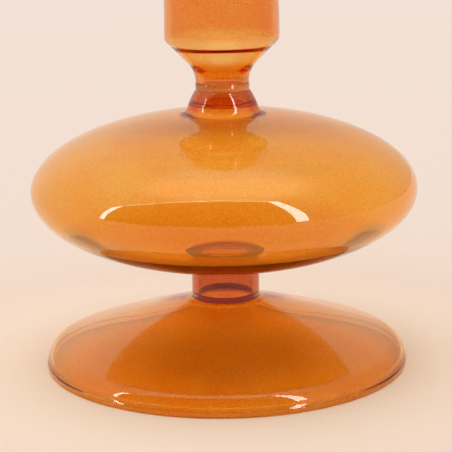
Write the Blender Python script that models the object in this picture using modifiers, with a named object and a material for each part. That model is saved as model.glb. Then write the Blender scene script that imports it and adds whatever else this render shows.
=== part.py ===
"""Amber glass candlestick, flame-worked from borosilicate tubing.

A candle cup stands on a closed neck and a flared collar. Below them are a wide hollow disc
bulb, a short stem and a hollow flared foot. Every section is a separate turned glass body,
and a ring of fused glass lies between sections where a flame seal joins them.

Run with blender --background --python part.py. Units are metres and +Z is up. The origin
is on the axis, at the height of the table.
"""

import math

import bpy

MM = 0.001

# Turning, clearance and material
STEPS = 48
SEAM_GAP = 0.3 * MM
MERGE_DISTANCE = 0.01 * MM
ARC_STEP = math.radians(18)
GLASS_IOR = 1.47
GLASS_ROUGHNESS = 0.03

# Candle cup: a tube that takes a 22 mm candle, closed below by a funnel
TOTAL_HEIGHT = 100.0 * MM
CUP_RADIUS = 12.5 * MM
CUP_WALL = 1.4 * MM
HEEL_RADIUS = 12.6 * MM
HEEL_Z = 72.9 * MM
HEEL_ROUND = 2.0 * MM
HEEL_EASE = 12.0 * MM  # the cup widens to the heel over this height
BOWL_Z = 72.6 * MM  # the floor is a shallow bowl from here down to the neck's bore
BOWL_ROUND = 2.0 * MM
BOWL_BEND = (8.4 * MM, 71.5 * MM)
BOWL_BEND_ROUND = 2.5 * MM
BOWL_FOOT_Z = 67.3 * MM
BOWL_FOOT_ROUND = 3.0 * MM
NECK_RADIUS = 5.87 * MM
NECK_WALL = 1.65 * MM
NECK_TOP_Z = 66.15 * MM
NECK_ROUND = 6.0 * MM

# Neck seal and collar
NECK_SEAL_BULGE = 0.12 * MM
COLLAR_RADIUS = 7.63 * MM
COLLAR_WALL = 1.5 * MM
COLLAR_SHOULDER = (6.62 * MM, 60.86 * MM)
COLLAR_BEND = (7.35 * MM, 59.36 * MM)
COLLAR_FOOT_RADIUS = 7.95 * MM

# Disc bulb: a flat ellipsoid, blown thin at its equator and thickest at its closed lower pole
DISC_RADIUS = 42.9 * MM
DISC_HALF_HEIGHT = 17.1 * MM
DISC_CENTRE_Z = 40.15 * MM
DISC_RIM_WALL = 0.7 * MM
DISC_TOP_WALL = 1.2 * MM
DISC_BOTTOM_WALL = 1.8 * MM
DISC_TOP_BORE = 6.0 * MM
DISC_SEGMENTS = 10  # from the collar to the equator, and again to the lower pole

# Stem
STEM_RADIUS = 7.6 * MM
STEM_WALL = 1.3 * MM
STEM_ROOT_RADIUS = 7.7 * MM

# Foot: a cubic curve from the stem to a rounded shoulder, then a steep lip with a bead
FOOT_RADIUS = 40.7 * MM
FOOT_WALL = 1.2 * MM
FOOT_TOP_Z = 15.5 * MM
FOOT_ROOT = (8.0 * MM, 13.9 * MM)
FOOT_FLARE = (15.0 * MM, 13.0 * MM)
FOOT_SEGMENTS = 10
FOOT_SHOULDER = (36.86 * MM, 1.6 * MM)
FOOT_SHOULDER_ROUND = 3.54 * MM
FOOT_SHOULDER_SLOPE = math.radians(20)
FOOT_REST_INNER = 38.9 * MM
FOOT_REST_OUTER = 40.3 * MM
BEAD_ROUND = 0.45 * MM

# Heights at which one section ends and the next begins
CUP_END_Z = 63.65 * MM
NECK_SEAL_END_Z = 61.95 * MM
COLLAR_END_Z = 58.5 * MM
DISC_TOP_Z = 57.1 * MM
DISC_BOTTOM_Z = 23.1 * MM
STEM_TOP_Z = 22.0 * MM
STEM_END_Z = 15.9 * MM
FOOT_START_Z = 14.6 * MM


def arc(centre, radius, start, end):
    """Points on an arc from one angle to another, in radians, with both ends included."""
    count = max(1, round(abs(end - start) / ARC_STEP))
    return [
        (centre[0] + radius * math.cos(angle), centre[1] + radius * math.sin(angle))
        for angle in (start + (end - start) * i / count for i in range(count + 1))
    ]


def fillet(before, corner, after, radius):
    """The arc of this radius that rounds a corner between its two neighbours."""
    to_before = math.atan2(before[1] - corner[1], before[0] - corner[0])
    to_after = math.atan2(after[1] - corner[1], after[0] - corner[0])
    half = math.remainder(to_after - to_before, math.tau) / 2
    middle = to_before + half
    distance = radius / abs(math.sin(half))
    centre = (corner[0] + distance * math.cos(middle), corner[1] + distance * math.sin(middle))
    turn = math.copysign(math.pi / 2, half)
    start = to_before - turn
    sweep = math.remainder(to_after + turn - start, math.tau)
    return arc(centre, radius, start, start + sweep)


def rounded(corners):
    """An open outline from (r, z) corners. A third value rounds that corner to its radius."""
    points = []
    for i, corner in enumerate(corners):
        if len(corner) == 3:
            points += fillet(corners[i - 1], corner, corners[i + 1], corner[2])
        else:
            points.append(corner)
    return points


def disc_face(inset, top_inset, bottom_inset):
    """Points down the disc's outer face, or down an inner face that far inside the glass."""
    half_width = DISC_RADIUS - inset
    half_height = DISC_HALF_HEIGHT - (top_inset + bottom_inset) / 2
    centre_z = DISC_CENTRE_Z + (bottom_inset - top_inset) / 2
    start = math.acos(DISC_TOP_BORE / half_width)
    upper = [start * (1 - i / DISC_SEGMENTS) for i in range(DISC_SEGMENTS)]
    lower = [-math.pi / 2 * i / DISC_SEGMENTS for i in range(DISC_SEGMENTS)]
    face = [(half_width * math.cos(a), centre_z + half_height * math.sin(a)) for a in upper + lower]
    return face + [(0, centre_z - half_height)]


def cubic(controls, t):
    """The point at t on a cubic curve with these four control points."""
    s = 1 - t
    weights = (s**3, 3 * s * s * t, 3 * s * t * t, t**3)
    return tuple(sum(w * point[axis] for w, point in zip(weights, controls)) for axis in (0, 1))


def foot_face(inset):
    """Points down the foot's upper face to the lip, or down a parallel face inside the glass."""
    shoulder = arc(
        FOOT_SHOULDER,
        FOOT_SHOULDER_ROUND - inset,
        math.pi / 2 - FOOT_SHOULDER_SLOPE,
        0,
    )
    controls = (
        (STEM_RADIUS - inset, FOOT_TOP_Z),
        (FOOT_ROOT[0] - inset, FOOT_ROOT[1] - inset),
        (FOOT_FLARE[0], FOOT_FLARE[1] - inset),
        shoulder[0],
    )
    flare = [cubic(controls, i / FOOT_SEGMENTS) for i in range(FOOT_SEGMENTS)]
    return [point for point in flare if point[1] < FOOT_START_Z - SEAM_GAP] + shoulder


def glass(name, colour):
    """Clear coloured glass."""
    material = bpy.data.materials.new(name)
    material.use_nodes = True
    shader = material.node_tree.nodes["Principled BSDF"]
    shader.inputs["Base Color"].default_value = (*colour, 1)
    shader.inputs["Roughness"].default_value = GLASS_ROUGHNESS
    shader.inputs["Metallic"].default_value = 0
    shader.inputs["IOR"].default_value = GLASS_IOR
    shader.inputs["Transmission Weight"].default_value = 1
    return material


def turned(name, outline, colour, collection, closed=True):
    """Turns an outline of (r, z) points about the Z axis into one glass body.

    The outline runs down the outer side and up the inner side. An open one ends on the axis.
    """
    count = len(outline)
    edges = [(i, (i + 1) % count) for i in range(count if closed else count - 1)]
    mesh = bpy.data.meshes.new(name)
    mesh.from_pydata([(r, 0, z) for r, z in outline], edges, [])
    mesh.materials.append(glass(name + "_glass", colour))
    piece = bpy.data.objects.new(name, mesh)
    collection.objects.link(piece)
    screw = piece.modifiers.new("Turning", "SCREW")
    screw.axis = "Z"
    screw.steps = STEPS
    screw.render_steps = STEPS
    screw.use_smooth_shade = True
    screw.use_merge_vertices = True
    screw.merge_threshold = MERGE_DISTANCE
    return piece


def ring(outer_top, outer_bottom, bore_top, bore_bottom, top_z, bottom_z):
    """The outline of a plain ring between two seams, with the gap taken off both ends."""
    top = top_z - SEAM_GAP / 2
    bottom = bottom_z + SEAM_GAP / 2
    return [(outer_top, top), (outer_bottom, bottom), (bore_bottom, bottom), (bore_top, top)]


def candle_cup():
    """Straight cup with a melted rim, a rounded heel, a shallow floor and a funnel to the neck."""
    end = CUP_END_Z + SEAM_GAP / 2
    bore = CUP_RADIUS - CUP_WALL
    neck_bore = NECK_RADIUS - NECK_WALL
    lip = CUP_WALL / 2
    rim = arc((CUP_RADIUS - lip, TOTAL_HEIGHT - lip), lip, math.pi, 0)
    return rim + rounded(
        [
            (CUP_RADIUS, HEEL_Z + HEEL_EASE),
            (HEEL_RADIUS, HEEL_Z, HEEL_ROUND),
            (NECK_RADIUS, NECK_TOP_Z, NECK_ROUND),
            (NECK_RADIUS, end),
            (neck_bore, end),
            (neck_bore, BOWL_FOOT_Z, BOWL_FOOT_ROUND),
            (*BOWL_BEND, BOWL_BEND_ROUND),
            (bore, BOWL_Z, BOWL_ROUND),
            (bore, HEEL_Z + HEEL_EASE),
        ]
    )


def neck_seal():
    """Solid disc of glass that closes the bottom of the cup, with a slightly swollen edge."""
    top = CUP_END_Z - SEAM_GAP / 2
    bottom = NECK_SEAL_END_Z + SEAM_GAP / 2
    middle = (top + bottom) / 2
    edge = NECK_RADIUS + NECK_SEAL_BULGE
    return [(0, top), (NECK_RADIUS, top), (edge, middle), (NECK_RADIUS, bottom), (0, bottom)]


def neck_collar():
    """Short tube that flares from the neck towards the disc."""
    top = NECK_SEAL_END_Z - SEAM_GAP / 2
    bottom = COLLAR_END_Z + SEAM_GAP / 2
    return [
        (NECK_RADIUS, top),
        COLLAR_SHOULDER,
        COLLAR_BEND,
        (COLLAR_RADIUS, bottom),
        (COLLAR_RADIUS - COLLAR_WALL, bottom),
        (COLLAR_BEND[0] - COLLAR_WALL, COLLAR_BEND[1]),
        (COLLAR_SHOULDER[0] - COLLAR_WALL, COLLAR_SHOULDER[1]),
        (NECK_RADIUS - COLLAR_WALL, top),
    ]


def disc_bulb():
    """Hollow ellipsoid, open under the collar and closed at its lower pole, over the stem."""
    outer = disc_face(0, 0, 0)
    inner = disc_face(DISC_RIM_WALL, DISC_TOP_WALL, DISC_BOTTOM_WALL)
    return inner[::-1] + outer


def foot_bell():
    """Flared bell with a beaded lip, ground flat where it stands on the table."""
    top = FOOT_START_Z - SEAM_GAP / 2
    bore = STEM_RADIUS - STEM_WALL
    face = foot_face(0)
    bead = rounded(
        [
            face[-1],
            (FOOT_RADIUS, FOOT_SHOULDER[1] - BEAD_ROUND, BEAD_ROUND),
            (FOOT_RADIUS, 0, BEAD_ROUND / 2),
            (FOOT_REST_OUTER, 0),
            (FOOT_REST_INNER, 0),
        ]
    )[1:]
    inner = foot_face(FOOT_WALL)
    return [(STEM_ROOT_RADIUS, top)] + face + bead + inner[::-1] + [(bore, top)]


def build():
    for leftover in list(bpy.data.objects):
        bpy.data.objects.remove(leftover, do_unlink=True)
    candlestick = bpy.data.collections.new("Glass candlestick")
    bpy.context.scene.collection.children.link(candlestick)

    bore = STEM_RADIUS - STEM_WALL
    collar_bore = COLLAR_RADIUS - COLLAR_WALL
    sections = (
        ("candle_cup", candle_cup(), (0.82, 0.30, 0.06)),
        ("neck_seal", neck_seal(), (0.66, 0.18, 0.02)),
        ("neck_collar", neck_collar(), (0.74, 0.22, 0.03)),
        (
            "collar_seal_ring",
            ring(COLLAR_RADIUS, COLLAR_FOOT_RADIUS, collar_bore, collar_bore, COLLAR_END_Z, DISC_TOP_Z),
            (0.62, 0.15, 0.01),
        ),
        ("disc_bulb", disc_bulb(), (0.86, 0.36, 0.09)),
        (
            "stem_seal_ring",
            ring(STEM_ROOT_RADIUS, STEM_RADIUS, bore, bore, DISC_BOTTOM_Z, STEM_TOP_Z),
            (0.62, 0.15, 0.01),
        ),
        (
            "stem_tube",
            ring(STEM_RADIUS, STEM_RADIUS, bore, bore, STEM_TOP_Z, STEM_END_Z),
            (0.74, 0.22, 0.04),
        ),
        (
            "foot_seal_ring",
            ring(STEM_RADIUS, STEM_ROOT_RADIUS, bore, bore, STEM_END_Z, FOOT_START_Z),
            (0.60, 0.14, 0.01),
        ),
        ("foot_bell", foot_bell(), (0.84, 0.33, 0.08)),
    )
    for name, outline, colour in sections:
        turned(name, outline, colour, candlestick, closed=outline[-1][0] > 0)


build()
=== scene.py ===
"""Looks of the amber glass candlestick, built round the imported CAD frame.

Every section of glass is turned again here at a finer resolution, as a closed body with a real
wall, and stands for one CAD node. Outlines are in millimetres until a mesh is made, and the
floor, the world and the camera are in metres. Neighbouring sections overlap by a hair, so that
light passes through a seal as it does through one piece of glass.
"""

import math

import bpy
import numpy as np
from mathutils import Euler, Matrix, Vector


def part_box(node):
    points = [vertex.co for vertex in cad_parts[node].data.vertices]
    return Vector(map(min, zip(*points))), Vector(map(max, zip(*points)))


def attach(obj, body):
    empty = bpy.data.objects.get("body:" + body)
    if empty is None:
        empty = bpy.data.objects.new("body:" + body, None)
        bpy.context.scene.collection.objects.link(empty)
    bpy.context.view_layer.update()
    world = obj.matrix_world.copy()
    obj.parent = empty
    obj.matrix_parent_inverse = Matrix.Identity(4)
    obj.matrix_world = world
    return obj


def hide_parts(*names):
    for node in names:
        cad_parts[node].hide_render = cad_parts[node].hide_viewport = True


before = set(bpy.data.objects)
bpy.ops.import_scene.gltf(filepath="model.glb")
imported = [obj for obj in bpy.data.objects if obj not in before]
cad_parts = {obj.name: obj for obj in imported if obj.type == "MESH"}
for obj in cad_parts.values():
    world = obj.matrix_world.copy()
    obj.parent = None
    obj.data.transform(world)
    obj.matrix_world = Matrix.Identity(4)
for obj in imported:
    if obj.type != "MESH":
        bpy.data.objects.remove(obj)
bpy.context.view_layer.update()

MM = 0.001

# ---------------------------------------------------------------- sizes, in millimetres


def node_box(name):
    """The lowest and highest corners of a CAD node."""
    low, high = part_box(name)
    return [c / MM for c in low], [c / MM for c in high]


def seam(upper, lower):
    """The height halfway across the gap between two neighbouring nodes."""
    return (node_box(upper)[0][2] + node_box(lower)[1][2]) / 2


# Candle cup
CUP_RADIUS = 12.5
CUP_WALL = 1.4
RIM_Z = node_box("candle_cup")[1][2]
HEEL_RADIUS = node_box("candle_cup")[1][0]
HEEL_Z = 72.9
HEEL_ROUND = 2.0
HEEL_EASE = 12.0  # the cup widens to the heel over this height
NECK_RADIUS = 5.87
NECK_WALL = 1.65
NECK_TOP_Z = 66.15
NECK_ROUND = 6.0
BOWL_Z = 72.6  # the cup's floor is a shallow bowl from here down to the neck
BOWL_ROUND = 2.0
BOWL_BEND = (9.1, 71.6)
BOWL_BEND_ROUND = 2.5
BOWL_FOOT_Z = 66.0
BOWL_FOOT_ROUND = 3.0

# Neck seal: dished on both sides, with a slightly swollen edge
SEAL_DISH = 0.25
SEAL_DISH_EDGE = (3.6, 0.12)  # a radius, and how deep the dish still is there
SEAL_BULGE = 0.1
SEAL_BULGE_ROUND = 1.0

# Collar
COLLAR_WALL = 1.5
COLLAR_SHOULDER = (6.62, 60.86)
COLLAR_SHOULDER_ROUND = 1.5
COLLAR_RADIUS = 7.38
COLLAR_FOOT = 7.62

# Disc bulb
DISC_RADIUS = node_box("disc_bulb")[1][0]
DISC_CENTRE_Z = (node_box("disc_bulb")[0][2] + node_box("disc_bulb")[1][2]) / 2
DISC_HALF_HEIGHT = 17.1
DISC_RIM_WALL = 0.4
DISC_TOP_WALL = 1.2
DISC_BOTTOM_WALL = 2.1
DISC_TOP_THIN = (6.0, 42.0)  # the wall thins to the rim's thickness between these radii
DISC_BOTTOM_THIN = (29.0, 37.0)
DISC_BOTTOM_EASE = 0.3  # the share of the lower pole's thickness already lost where that begins
DISC_BORE = 6.0
DISC_SEGMENTS = 100
DISC_ROOT = 8.2  # the face is rounded into the collar's foot about this radius
DISC_ROOT_ROUND = 2.0
DISC_ROOT_REACH = 1.6
DISC_MOUTH_ROUND = 2.4  # inside, where the disc opens into the collar
DISC_MOUTH_REACH = 0.95
DISC_MOUTH_RISE = 0.35
POLE_FLAT = 2.0

# Stem
STEM_RADIUS = node_box("stem_tube")[1][0]
STEM_WALL = 1.3
STEM_ROOT_ROUND = 1.8
STEM_ROOT_REACH = 2.2
STEM_CEILING_ROUND = 1.6  # inside, where the disc's pole closes the stem's bore
STEM_CEILING_DROP = 0.1

# Foot
FOOT_RADIUS = node_box("foot_bell")[1][0]
FOOT_WALL = 0.9
FOOT_TOP_Z = 15.5
FOOT_NECK = 7.62
FOOT_ROOT = (8.0, 13.9)
FOOT_FLARE = (15.0, 13.0)
FOOT_SEGMENTS = 48
FOOT_SHOULDER = (36.86, 1.6)
FOOT_SHOULDER_ROUND = 3.54
FOOT_SHOULDER_SLOPE = math.radians(20)
FOOT_FACE_DROP = 0.1  # the flare starts this far below the neck's seam
FOOT_THROAT_ROUND = 2.2
FOOT_THROAT_RISE = 0.75
FOOT_REST_INNER = 39.3
BEAD_ROUND = 0.45
BEAD_FOOT_ROUND = 0.22
REST_ROUND = 0.1

# Seams, from the top down
CUP_SEAM = seam("candle_cup", "neck_seal")
SEAL_SEAM = seam("neck_seal", "neck_collar")
COLLAR_SEAM = seam("neck_collar", "collar_seal_ring") + 0.8
DISC_SEAM = COLLAR_SEAM - 0.6
STEM_RING_SEAM = seam("stem_seal_ring", "stem_tube")
DISC_BOTTOM_SEAM = STEM_RING_SEAM + 0.7
STEM_SEAM = seam("stem_tube", "foot_seal_ring")
ROOT_SEAM = STEM_SEAM - 0.9
LAP = 0.03  # how far a section runs into its neighbour at a seal

# Meshing and the unevenness of handwork
STEPS = 224
ARC_STEP = math.radians(8)
LONGEST_RUN = 1.0
ON_AXIS = 1e-6
HAND_WAVES = (  # height, turns along X, Y and Z in radians per millimetre, and phase
    (0.030, 0.19, 0.11, 0.23, 0.7),
    (0.022, -0.15, 0.29, -0.31, 2.1),
    (0.012, 0.47, -0.21, 0.55, 4.0),
)
HAND_FULL_RADIUS = 6  # the unevenness fades to nothing on the axis and on the table
HAND_FULL_Z = 4

# ---------------------------------------------------------------- outlines


def arc(centre, radius, start, end):
    """Points on an arc, both ends included."""
    count = max(2, round(abs(end - start) / ARC_STEP))
    return [
        (centre[0] + radius * math.cos(a), centre[1] + radius * math.sin(a))
        for a in np.linspace(start, end, count + 1)
    ]


def fillet(before, corner, after, radius):
    """The arc of this radius that rounds a corner between its two neighbours."""
    to_before = math.atan2(before[1] - corner[1], before[0] - corner[0])
    to_after = math.atan2(after[1] - corner[1], after[0] - corner[0])
    half = math.remainder(to_after - to_before, math.tau) / 2
    middle = to_before + half
    distance = radius / abs(math.sin(half))
    centre = (corner[0] + distance * math.cos(middle), corner[1] + distance * math.sin(middle))
    turn = math.copysign(math.pi / 2, half)
    start = to_before - turn
    sweep = math.remainder(to_after + turn - start, math.tau)
    return arc(centre, radius, start, start + sweep)


def rounded(corners):
    """A closed outline from corners. A third value rounds that corner to its radius."""
    points = []
    for i, corner in enumerate(corners):
        if len(corner) == 3:
            points += fillet(corners[i - 1], corner, corners[(i + 1) % len(corners)], corner[2])
        else:
            points.append(tuple(corner))
    return points


def refined(points):
    """The same closed outline with its long straight runs divided, apart from one on the axis."""
    result = []
    for i, a in enumerate(points):
        b = points[(i + 1) % len(points)]
        on_axis = max(a[0], b[0]) < ON_AXIS
        parts = 1 if on_axis else max(1, math.ceil(math.dist(a, b) / LONGEST_RUN))
        for k in range(parts):
            result.append((a[0] + (b[0] - a[0]) * k / parts, a[1] + (b[1] - a[1]) * k / parts))
    return result


def cubic(controls, count):
    """Points on a cubic curve, both ends included."""
    points = []
    for t in np.linspace(0, 1, count + 1):
        s = 1 - t
        weights = (s**3, 3 * s * s * t, 3 * s * t * t, t**3)
        points.append(tuple(sum(w * p[axis] for w, p in zip(weights, controls)) for axis in (0, 1)))
    return points


def ring(outer_top, outer_bottom, wall, top, bottom):
    """A short ring of wall between two seams."""
    return rounded(
        [
            (outer_top, top + LAP, LAP),
            (outer_bottom, bottom - LAP, LAP),
            (outer_bottom - wall, bottom - LAP, LAP),
            (outer_top - wall, top + LAP, LAP),
        ]
    )


def candle_cup():
    """Straight cup with a melted rim, a rounded heel, a shallow floor and a funnel to the neck."""
    end = CUP_SEAM - LAP
    bore = CUP_RADIUS - CUP_WALL
    neck_bore = NECK_RADIUS - NECK_WALL
    lip = CUP_WALL / 2
    rim = arc((CUP_RADIUS - lip, RIM_Z - lip), lip, math.pi, 0)
    return rim + rounded(
        [
            (CUP_RADIUS, HEEL_Z + HEEL_EASE),
            (HEEL_RADIUS, HEEL_Z, HEEL_ROUND),
            (NECK_RADIUS, NECK_TOP_Z, NECK_ROUND),
            (NECK_RADIUS, end, LAP),
            (neck_bore, end, LAP),
            (neck_bore, BOWL_FOOT_Z, BOWL_FOOT_ROUND),
            (*BOWL_BEND, BOWL_BEND_ROUND),
            (bore, BOWL_Z, BOWL_ROUND),
            (bore, HEEL_Z + HEEL_EASE),
        ]
    )


def neck_seal():
    """Solid disc of glass that closes the bottom of the cup."""
    top = CUP_SEAM + LAP
    bottom = SEAL_SEAM - LAP
    dish_radius, dish_edge = SEAL_DISH_EDGE
    return rounded(
        [
            (0, top - SEAL_DISH),
            (dish_radius, top - dish_edge),
            (NECK_RADIUS, top, LAP),
            (NECK_RADIUS + SEAL_BULGE, (top + bottom) / 2, SEAL_BULGE_ROUND),
            (NECK_RADIUS, bottom, LAP),
            (dish_radius, bottom + dish_edge),
            (0, bottom + SEAL_DISH),
        ]
    )


def neck_collar():
    """Short tube that flares from the neck towards the disc."""
    top = SEAL_SEAM + LAP
    bottom = COLLAR_SEAM - LAP
    return rounded(
        [
            (NECK_RADIUS, top, LAP),
            (*COLLAR_SHOULDER, COLLAR_SHOULDER_ROUND),
            (COLLAR_RADIUS, bottom, LAP),
            (COLLAR_RADIUS - COLLAR_WALL, bottom, LAP),
            (COLLAR_SHOULDER[0] - COLLAR_WALL, COLLAR_SHOULDER[1], COLLAR_SHOULDER_ROUND),
            (NECK_RADIUS - COLLAR_WALL, top, LAP),
        ]
    )


def disc_face():
    """Down the disc's outer face, from the collar's bore to the lower pole."""
    start = math.acos(DISC_BORE / DISC_RADIUS)
    return [
        (max(0.0, DISC_RADIUS * math.cos(a)), DISC_CENTRE_Z + DISC_HALF_HEIGHT * math.sin(a))
        for a in np.linspace(start, -math.pi / 2, DISC_SEGMENTS + 1)
    ]


def disc_inner():
    """Down the disc's inner face. The wall is thick at the poles and thin round the rim."""
    points = []
    for r, z in disc_face():
        above = z > DISC_CENTRE_Z
        low, high = DISC_TOP_THIN if above else DISC_BOTTOM_THIN
        t = min(max((r - low) / (high - low), 0.0), 1.0)
        eased = DISC_BOTTOM_WALL * (1 - DISC_BOTTOM_EASE * (r / low) ** 2)
        pole = DISC_TOP_WALL if above else eased
        wall = pole + (DISC_RIM_WALL - pole) * t * t * (3 - 2 * t)
        out = (r / DISC_RADIUS**2, (z - DISC_CENTRE_Z) / DISC_HALF_HEIGHT**2)
        size = math.hypot(*out)
        points.append((r - wall * out[0] / size, z - wall * out[1] / size))
    return points


def disc_top(radius):
    """The height of the disc's upper face at a radius."""
    return DISC_CENTRE_Z + DISC_HALF_HEIGHT * math.sqrt(1 - (radius / DISC_RADIUS) ** 2)


def disc_bottom(radius):
    """The height of the disc's lower face at a radius."""
    return 2 * DISC_CENTRE_Z - disc_top(radius)


def disc_bulb():
    """Hollow disc. Its lower pole is closed, and the stem is sealed on under it."""
    top = DISC_SEAM + LAP
    bottom = DISC_BOTTOM_SEAM - LAP
    mouth = COLLAR_FOOT - COLLAR_WALL
    bore = STEM_RADIUS - STEM_WALL
    face_start = DISC_ROOT + DISC_ROOT_REACH
    under_start = STEM_RADIUS + STEM_ROOT_REACH
    inner_start = mouth + DISC_MOUTH_ROUND * DISC_MOUTH_REACH
    outer = disc_face()
    inner = disc_inner()
    face = [p for p in outer if p[1] > DISC_CENTRE_Z and p[0] > face_start]
    under = [p for p in outer if p[1] <= DISC_CENTRE_Z and p[0] > under_start]
    upper = [p for p in inner if p[1] > DISC_CENTRE_Z and p[0] > inner_start]
    lower = [p for p in inner if p[1] <= DISC_CENTRE_Z]
    return rounded(
        [
            (0, disc_bottom(0)),
            (POLE_FLAT, disc_bottom(POLE_FLAT)),
            (bore, disc_bottom(bore) - STEM_CEILING_DROP, STEM_CEILING_ROUND),
            (bore, bottom, LAP),
            (STEM_RADIUS, bottom, LAP),
            (STEM_RADIUS, disc_bottom(STEM_RADIUS), STEM_ROOT_ROUND),
            *under[::-1],
            *face[::-1],
            (DISC_ROOT, disc_top(DISC_ROOT), DISC_ROOT_ROUND),
            (COLLAR_FOOT, top, LAP),
            (mouth, top, LAP),
            (mouth, upper[0][1] + DISC_MOUTH_RISE, DISC_MOUTH_ROUND),
            *upper,
            *lower,
        ]
    )[::-1]


def foot_face(inset):
    """Down the foot's upper face to its lip, or down a parallel face inside the glass."""
    shoulder = arc(
        FOOT_SHOULDER,
        FOOT_SHOULDER_ROUND - inset,
        math.pi / 2 - FOOT_SHOULDER_SLOPE,
        0,
    )
    controls = (
        (STEM_RADIUS - inset, FOOT_TOP_Z),
        (FOOT_ROOT[0] - inset, FOOT_ROOT[1] - inset),
        (FOOT_FLARE[0], FOOT_FLARE[1] - inset),
        shoulder[0],
    )
    return cubic(controls, FOOT_SEGMENTS)[:-1] + shoulder


def foot_bell():
    """Flared bell with a beaded lip and a narrow flat ring to stand on."""
    top = ROOT_SEAM + LAP
    bore = FOOT_NECK - STEM_WALL
    face = [p for p in foot_face(0) if p[1] < ROOT_SEAM - FOOT_FACE_DROP]
    inner = [p for p in foot_face(FOOT_WALL) if p[0] > bore + FOOT_THROAT_ROUND]
    lip = rounded(
        [
            face[-1],
            (FOOT_RADIUS, FOOT_SHOULDER[1] - BEAD_ROUND, BEAD_ROUND),
            (FOOT_RADIUS, 0, BEAD_FOOT_ROUND),
            (FOOT_REST_INNER, 0, REST_ROUND),
            inner[-1],
        ]
    )[1:-1]
    throat = rounded(
        [
            inner[0],
            (bore, inner[0][1] + FOOT_THROAT_RISE, FOOT_THROAT_ROUND),
            (bore, top, LAP),
            (FOOT_NECK, top, LAP),
            face[0],
        ]
    )[1:-1]
    return face + lip + inner[::-1] + throat


# ---------------------------------------------------------------- meshes


def hand(points):
    """The slight unevenness of glass worked by hand, the same for every section."""
    x, y, z = points.T
    swell = 0
    for height, along_x, along_y, along_z, phase in HAND_WAVES:
        swell = swell + height * np.sin(along_x * x + along_y * y + along_z * z + phase)
    return swell


def show(name, mesh, material):
    """Puts a mesh with one material in the scene."""
    mesh.materials.append(material)
    thing = bpy.data.objects.new(name, mesh)
    bpy.context.scene.collection.objects.link(thing)
    return thing


def turned(name, outline, material):
    """A closed body turned about the Z axis from an outline in millimetres."""
    outline = refined(outline)
    count = len(outline)
    angles = np.arange(STEPS) * math.tau / STEPS
    points = []
    index = np.zeros((count, STEPS), int)
    for i, (radius, height) in enumerate(outline):
        if radius < ON_AXIS:
            index[i] = len(points)
            points.append((0, 0, height))
        else:
            index[i] = len(points) + np.arange(STEPS)
            points += [(radius * math.cos(a), radius * math.sin(a), height) for a in angles]
    points = np.array(points)
    flat = np.hypot(points[:, 0], points[:, 1])
    fade = np.clip(flat / HAND_FULL_RADIUS, 0, 1) * np.clip(points[:, 2] / HAND_FULL_Z, 0, 1)
    points[:, :2] *= ((flat + hand(points) * fade) / np.maximum(flat, ON_AXIS))[:, None]
    faces = []
    for i in range(count):
        j = (i + 1) % count
        for k in range(STEPS):
            m = (k + 1) % STEPS
            face = [index[i][k], index[j][k], index[j][m], index[i][m]]
            face = [int(v) for n, v in enumerate(face) if v != face[n - 1]]
            if len(face) > 2:
                faces.append(face)
    mesh = bpy.data.meshes.new(name)
    mesh.from_pydata((points * MM).tolist(), [], faces)
    mesh.validate()
    mesh.shade_smooth()
    return show(name, mesh, material)


# ---------------------------------------------------------------- nodes


def new_material(name):
    """A material, its node tree and the shader that it starts with."""
    material = bpy.data.materials.new(name)
    material.use_nodes = True
    return material, material.node_tree, material.node_tree.nodes["Principled BSDF"]


def add(tree, kind, values=None, **settings):
    """A new node of this kind. Its settings come first, because some of them swap its sockets."""
    node = tree.nodes.new("ShaderNode" + kind)
    for setting, value in settings.items():
        setattr(node, setting, value)
    fill(node, values or {})
    return node


def fill(node, values):
    """Sets sockets to plain values."""
    for socket, value in values.items():
        node.inputs[socket].default_value = value


def add_ramp(tree, stops):
    """A colour ramp from pairs of a position and a colour, in rising order."""
    node = add(tree, "ValToRGB")
    elements = node.color_ramp.elements
    while len(elements) < len(stops):
        elements.new(0.5)
    for element, (position, colour) in zip(elements, stops):
        element.position = position
        element.color = (*colour, 1)
    return node


def link(tree, source, target):
    tree.links.new(source, target)


# ---------------------------------------------------------------- glass

GLASS_IOR = 1.47
SPECKLE = {"Scale": 3200, "Detail": 2}
DRIFT = {"Scale": 60, "Detail": 3}
DRIFT_SHARE = 0.2
TINT_DEPTH = {"From Min": 0.35, "From Max": 0.65, "To Min": 1.8, "To Max": 0.3}
POLISH = {"From Min": 0.3, "From Max": 0.7, "To Min": 0.0, "To Max": 0.02}

CUP_TINT = (0.946, 0.643, 0.232)
# painted light: the funnel and the bowl's floor are tinted nearly clear, standing in for overhead
# light reflected inside them
FUNNEL_PAINTED_LIGHT = (1.0, 0.96, 0.88)
NECK_TINT = (0.94, 0.60, 0.19)
DISC_TINT = (1.0, 0.725, 0.27)
DISC_ROOT_TINT = (0.85, 0.45, 0.15)
POLE_TINT = (0.96, 0.66, 0.24)
STEM_TINT = (0.86, 0.59, 0.27)
SEAL_TINT = (0.84, 0.42, 0.13)
FOOT_TINT = (0.99, 0.66, 0.20)
FOOT_ROOT_TINT = (0.86, 0.45, 0.14)
CUP_AMBER = (0.977, 0.70, 0.10)
AMBER = (0.960, 0.72, 0.08)
DEEP_AMBER = (0.907, 0.537, 0.03)


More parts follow.
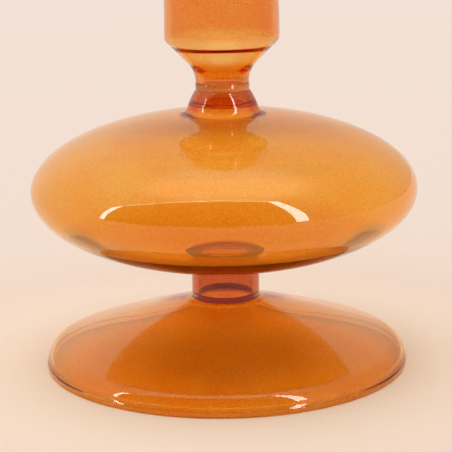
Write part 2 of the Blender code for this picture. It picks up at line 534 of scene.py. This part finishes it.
def glass(name, tints, absorb, density):
    """Amber glass: a tint that changes with height, with a fine speckle, over coloured glass.

    The tints are pairs of a height in millimetres and a colour; some are painted light, as the
    nearly clear band in the cup's funnel.
    """
    material, tree, shader = new_material(name)
    fill(shader, {"IOR": GLASS_IOR, "Transmission Weight": 1})
    coordinates = add(tree, "TexCoord")
    split = add(tree, "SeparateXYZ")
    tint_and_painted_light = add_ramp(tree, [(height / 100, tint) for height, tint in tints])
    lift = add(tree, "Math", {1: 10}, operation="MULTIPLY")  # 100 mm is 1 on the ramp
    speckle = add(tree, "TexNoise", SPECKLE)
    drift = add(tree, "TexNoise", DRIFT)
    both = add(tree, "Mix", {"Factor": DRIFT_SHARE})
    depth = add(tree, "MapRange", TINT_DEPTH)
    thickness = add(tree, "Gamma")
    for noise in (speckle, drift):
        link(tree, coordinates.outputs["Object"], noise.inputs["Vector"])
    link(tree, coordinates.outputs["Object"], split.inputs[0])
    link(tree, split.outputs["Z"], lift.inputs[0])
    link(tree, lift.outputs[0], tint_and_painted_light.inputs["Fac"])
    link(tree, speckle.outputs["Fac"], both.inputs["A"])
    link(tree, drift.outputs["Fac"], both.inputs["B"])
    link(tree, both.outputs["Result"], depth.inputs["Value"])
    link(tree, tint_and_painted_light.outputs["Color"], thickness.inputs["Color"])
    link(tree, depth.outputs["Result"], thickness.inputs["Gamma"])
    link(tree, thickness.outputs["Color"], shader.inputs["Base Color"])
    polish = add(tree, "MapRange", POLISH)
    link(tree, drift.outputs["Fac"], polish.inputs["Value"])
    link(tree, polish.outputs["Result"], shader.inputs["Roughness"])
    body = add(tree, "VolumeAbsorption", {"Color": (*absorb, 1), "Density": density})
    link(tree, body.outputs["Volume"], tree.nodes["Material Output"].inputs["Volume"])
    return material


# the cup's tints, with painted light in its funnel
cup_tints_and_painted_light = [
    (64.0, NECK_TINT),
    (67.0, NECK_TINT),
    (69.0, FUNNEL_PAINTED_LIGHT),
    (73.0, FUNNEL_PAINTED_LIGHT),
    (74.5, CUP_TINT),
]
disc_tints = [(26.0, POLE_TINT), (34.0, DISC_TINT), (57.0, DISC_TINT), (58.0, DISC_ROOT_TINT)]
foot_tints = [(11.0, FOOT_TINT), (14.5, FOOT_ROOT_TINT)]
cup_glass = glass("cup_glass", cup_tints_and_painted_light, CUP_AMBER, 560)
seal_glass = glass("seal_glass", [(15.0, SEAL_TINT), (60.0, SEAL_TINT)], DEEP_AMBER, 150)
collar_glass = glass("collar_glass", [(15.0, STEM_TINT), (60.0, STEM_TINT)], DEEP_AMBER, 1000)
disc_glass = glass("disc_glass", disc_tints, AMBER, 700)
foot_glass = glass("foot_glass", foot_tints, AMBER, 380)

# ---------------------------------------------------------------- the candlestick

collar_seal_ring = ring(COLLAR_RADIUS, COLLAR_FOOT, COLLAR_WALL, COLLAR_SEAM, DISC_SEAM)
stem_seal_ring = ring(STEM_RADIUS, STEM_RADIUS, STEM_WALL, DISC_BOTTOM_SEAM, STEM_RING_SEAM)
stem_tube = ring(STEM_RADIUS, STEM_RADIUS, STEM_WALL, STEM_RING_SEAM, STEM_SEAM)
foot_seal_ring = ring(STEM_RADIUS, FOOT_NECK, STEM_WALL, STEM_SEAM, ROOT_SEAM)

sections = (
    ("cup", "candle_cup", candle_cup(), cup_glass, "cup_glass"),
    ("seal", "neck_seal", neck_seal(), seal_glass, "seal_glass"),
    ("collar", "neck_collar", neck_collar(), collar_glass, "collar_glass"),
    ("collar_ring", "collar_seal_ring", collar_seal_ring, seal_glass, "seal_glass"),
    ("disc", "disc_bulb", disc_bulb(), disc_glass, "disc_glass"),
    ("stem_ring", "stem_seal_ring", stem_seal_ring, seal_glass, "seal_glass"),
    ("stem", "stem_tube", stem_tube, collar_glass, "collar_glass"),
    ("foot_ring", "foot_seal_ring", foot_seal_ring, seal_glass, "seal_glass"),
    ("foot", "foot_bell", foot_bell(), foot_glass, "foot_glass"),
)
for name, node, outline, material, slot in sections:
    piece = turned(name, outline, material)
    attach(piece, "root")
    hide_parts(node)

# ---------------------------------------------------------------- the floor, in metres

FLOOR_Z = -0.00005
FLOOR_RINGS = (0.1, 0.3, 1.0, 4.0)
FLOOR_STEPS = 96
FLOOR_TONE_AND_PAINTED_LIGHT = (  # the floor's colour, painted lighter and warmer close to the object: painted orange light passed through the glass, which also lifts the contact shadow
    (0.045, (0.91, 0.815, 0.725)),
    (0.08, (0.80, 0.70, 0.66)),
    (0.16, (0.78, 0.71, 0.70)),
    (0.9, (0.77, 0.72, 0.745)),
)
PAINTED_FOOT_GLOW = (  # painted glow: emission on the table under the foot, standing in for the light that the foot gathers there
    (0.012, (0, 0, 0)),
    (0.034, (0.19, 0.052, 0)),
    (0.041, (0, 0, 0)),
)
FLOOR_GRAIN = {"Scale": 300, "Detail": 4}
FLOOR_GRAIN_SHARE = 0.03


def floor():
    """A pale seamless floor, with painted light: lighter and warmer close to the object, and
    glowing under the foot.
    """
    points = [(0, 0, FLOOR_Z)]
    angles = np.arange(FLOOR_STEPS) * math.tau / FLOOR_STEPS
    for r in FLOOR_RINGS:
        points += [(r * math.cos(a), r * math.sin(a), FLOOR_Z) for a in angles]
    faces = []
    for k in range(FLOOR_STEPS):
        m = (k + 1) % FLOOR_STEPS
        faces.append((0, 1 + k, 1 + m))
        for i in range(len(FLOOR_RINGS) - 1):
            a = 1 + i * FLOOR_STEPS
            b = a + FLOOR_STEPS
            faces.append((a + k, b + k, b + m, a + m))
    mesh = bpy.data.meshes.new("floor")
    mesh.from_pydata(points, [], faces)

    material, tree, shader = new_material("floor")
    fill(shader, {"Roughness": 0.9, "Specular IOR Level": 0.1, "Emission Strength": 1})
    coordinates = add(tree, "TexCoord")
    length = add(tree, "VectorMath", operation="LENGTH")
    # painted light: the floor's colour is lighter and warmer close to the object
    tint = add_ramp(tree, FLOOR_TONE_AND_PAINTED_LIGHT)
    glow = add_ramp(tree, PAINTED_FOOT_GLOW)
    grain = add(tree, "TexNoise", FLOOR_GRAIN)
    settings = {"data_type": "RGBA", "blend_type": "MULTIPLY"}
    mix = add(tree, "Mix", {"Factor": FLOOR_GRAIN_SHARE}, **settings)
    link(tree, coordinates.outputs["Object"], length.inputs[0])
    link(tree, length.outputs["Value"], glow.inputs["Fac"])
    # painted light: the floor glows in a ring under the foot as if lit through the glass
    link(tree, glow.outputs["Color"], shader.inputs["Emission Color"])
    link(tree, length.outputs["Value"], tint.inputs["Fac"])
    link(tree, coordinates.outputs["Object"], grain.inputs["Vector"])
    link(tree, tint.outputs["Color"], mix.inputs["A"])
    link(tree, grain.outputs["Color"], mix.inputs["B"])
    link(tree, mix.outputs["Result"], shader.inputs["Base Color"])
    show("floor", mesh, material)


# ---------------------------------------------------------------- the studio

TENT_LEFT = (0.90, 0.80, 0.68)
TENT_RIGHT = (0.60, 0.52, 0.43)
TENT_ROOF = (1.45, 1.38, 1.28)
TENT_TURN = (-0.6, 0.9)  # the walls go from left to right over this range of X
ROOF_EDGE = (0.84, 0.94)
ROOM = (0.03, 0.026, 0.022)
OPEN_LEFT = -3.3  # the tent's opening, on a plane one unit in front of the object
OPEN_RIGHT = 1.04
OPEN_TOP = 2.6
SOFT_EDGE = 0.1
CRISP_EDGE = 0.03
OPEN_DEPTH = (0.01, 0.03)
SMALLEST_DEPTH = 1e-4
DIFFUSE_LIFT = 0.31  # matt surfaces see the tent this much brighter, and closed

LAMP_Y = -443.0  # in millimetres, as the lamps' edges are
LAMP_WHITE = (1.0, 0.96, 0.90)
LAMPS = (  # name, left, right, bottom, top and strength
    ("left_strip", -1560, -1240, 75, 1080, 15),
    ("right_strip", 375, 490, 75, 1080, 15),
    ("top_strip", -1240, 375, 1060, 1100, 10),
)


def lamp(name, left, right, bottom, top, strength):
    """A flat lamp facing the object. It shows only where the glass reflects it."""
    corners = ((left, bottom), (right, bottom), (right, top), (left, top))
    mesh = bpy.data.meshes.new(name)
    mesh.from_pydata([(x * MM, LAMP_Y * MM, z * MM) for x, z in corners], [], [(0, 1, 2, 3)])
    material, tree, shader = new_material(name)
    tree.nodes.remove(shader)
    glow = add(tree, "Emission", {"Color": (*LAMP_WHITE, 1), "Strength": strength})
    link(tree, glow.outputs["Emission"], tree.nodes["Material Output"].inputs["Surface"])
    panel = show(name, mesh, material)
    panel.visible_camera = False
    panel.visible_diffuse = False
    panel.visible_transmission = False
    panel.visible_shadow = False


def studio():
    """A white tent lit from all round, open towards the front, where the room is dark."""
    world = bpy.data.worlds.new("tent")
    bpy.context.scene.world = world
    world.use_nodes = True
    tree = world.node_tree
    background = tree.nodes["Background"]

    def combine(operation, *values):
        """The result of a sum on plain values and other nodes' results."""
        node = add(tree, "Math", operation=operation)
        for socket, value in zip(node.inputs, values):
            if isinstance(value, (int, float)):
                socket.default_value = value
            else:
                link(tree, value, socket)
        return node.outputs[0]

    def step(value, low, high):
        """A smooth step from 0 at the low value to 1 at the high one."""
        limits = {"From Min": low, "From Max": high}
        node = add(tree, "MapRange", limits, interpolation_type="SMOOTHSTEP")
        link(tree, value, node.inputs["Value"])
        return node.outputs["Result"]

    def blend(factor, low, high):
        """A mix of two colours, each a plain colour or another node's result."""
        node = add(tree, "Mix", data_type="RGBA")
        for socket, value in (("Factor", factor), ("A", low), ("B", high)):
            if isinstance(value, tuple):
                node.inputs[socket].default_value = (*value, 1)
            else:
                link(tree, value, node.inputs[socket])
        return node.outputs["Result"]

    split = add(tree, "SeparateXYZ")
    link(tree, add(tree, "TexCoord").outputs["Generated"], split.inputs[0])
    ahead = combine("MAXIMUM", combine("MULTIPLY", split.outputs["Y"], -1.0), SMALLEST_DEPTH)
    across = combine("DIVIDE", split.outputs["X"], ahead)
    up = combine("DIVIDE", split.outputs["Z"], ahead)
    right_of_left = step(across, OPEN_LEFT - SOFT_EDGE, OPEN_LEFT + SOFT_EDGE)
    left_of_right = step(across, OPEN_RIGHT + CRISP_EDGE, OPEN_RIGHT - CRISP_EDGE)
    under_top = step(up, OPEN_TOP + SOFT_EDGE, OPEN_TOP - SOFT_EDGE)
    inside = combine("MULTIPLY", right_of_left, left_of_right)
    inside = combine("MULTIPLY", inside, under_top)
    inside = combine("MULTIPLY", inside, step(ahead, *OPEN_DEPTH))

    walls = blend(step(split.outputs["X"], *TENT_TURN), TENT_LEFT, TENT_RIGHT)
    tent = blend(step(split.outputs["Z"], *ROOF_EDGE), walls, TENT_ROOF)
    path = add(tree, "LightPath")
    bounced = combine("MINIMUM", path.outputs["Diffuse Depth"], 1.0)
    lit = combine("MAXIMUM", path.outputs["Is Diffuse Ray"], bounced)
    seen = combine("MULTIPLY", inside, combine("SUBTRACT", 1.0, lit))
    link(tree, blend(seen, tent, ROOM), background.inputs["Color"])
    strength = combine("MULTIPLY_ADD", lit, DIFFUSE_LIFT, 1.0)
    link(tree, strength, background.inputs["Strength"])
    for settings in LAMPS:
        lamp(*settings)


floor()
studio()

# ---------------------------------------------------------------- the camera, in metres

CAMERA_DISTANCE = 0.3604
CAMERA_HEIGHT = 0.1166
CAMERA_PITCH = 0.2334
CAMERA_ROLL = math.radians(-0.9)
CAMERA_YAW = -0.0008
LENS = 131.54
SENSOR_WIDTH = 36
CLIP_NEAR = 0.01
CLIP_FAR = 20
BOUNCES = 256

camera = bpy.data.objects.new("camera", bpy.data.cameras.new("camera"))
camera.data.lens = LENS
camera.data.sensor_width = SENSOR_WIDTH
camera.data.clip_start = CLIP_NEAR
camera.data.clip_end = CLIP_FAR
camera.location = (0, -CAMERA_DISTANCE, CAMERA_HEIGHT)
aim = Euler((math.pi / 2 - CAMERA_PITCH, 0, CAMERA_YAW)).to_matrix()
camera.rotation_euler = (aim @ Euler((0, 0, CAMERA_ROLL)).to_matrix()).to_euler()
scene = bpy.context.scene
scene.collection.objects.link(camera)
scene.camera = camera
scene.view_settings.view_transform = "Standard"
scene.cycles.max_bounces = BOUNCES
scene.cycles.transmission_bounces = BOUNCES
scene.cycles.glossy_bounces = BOUNCES
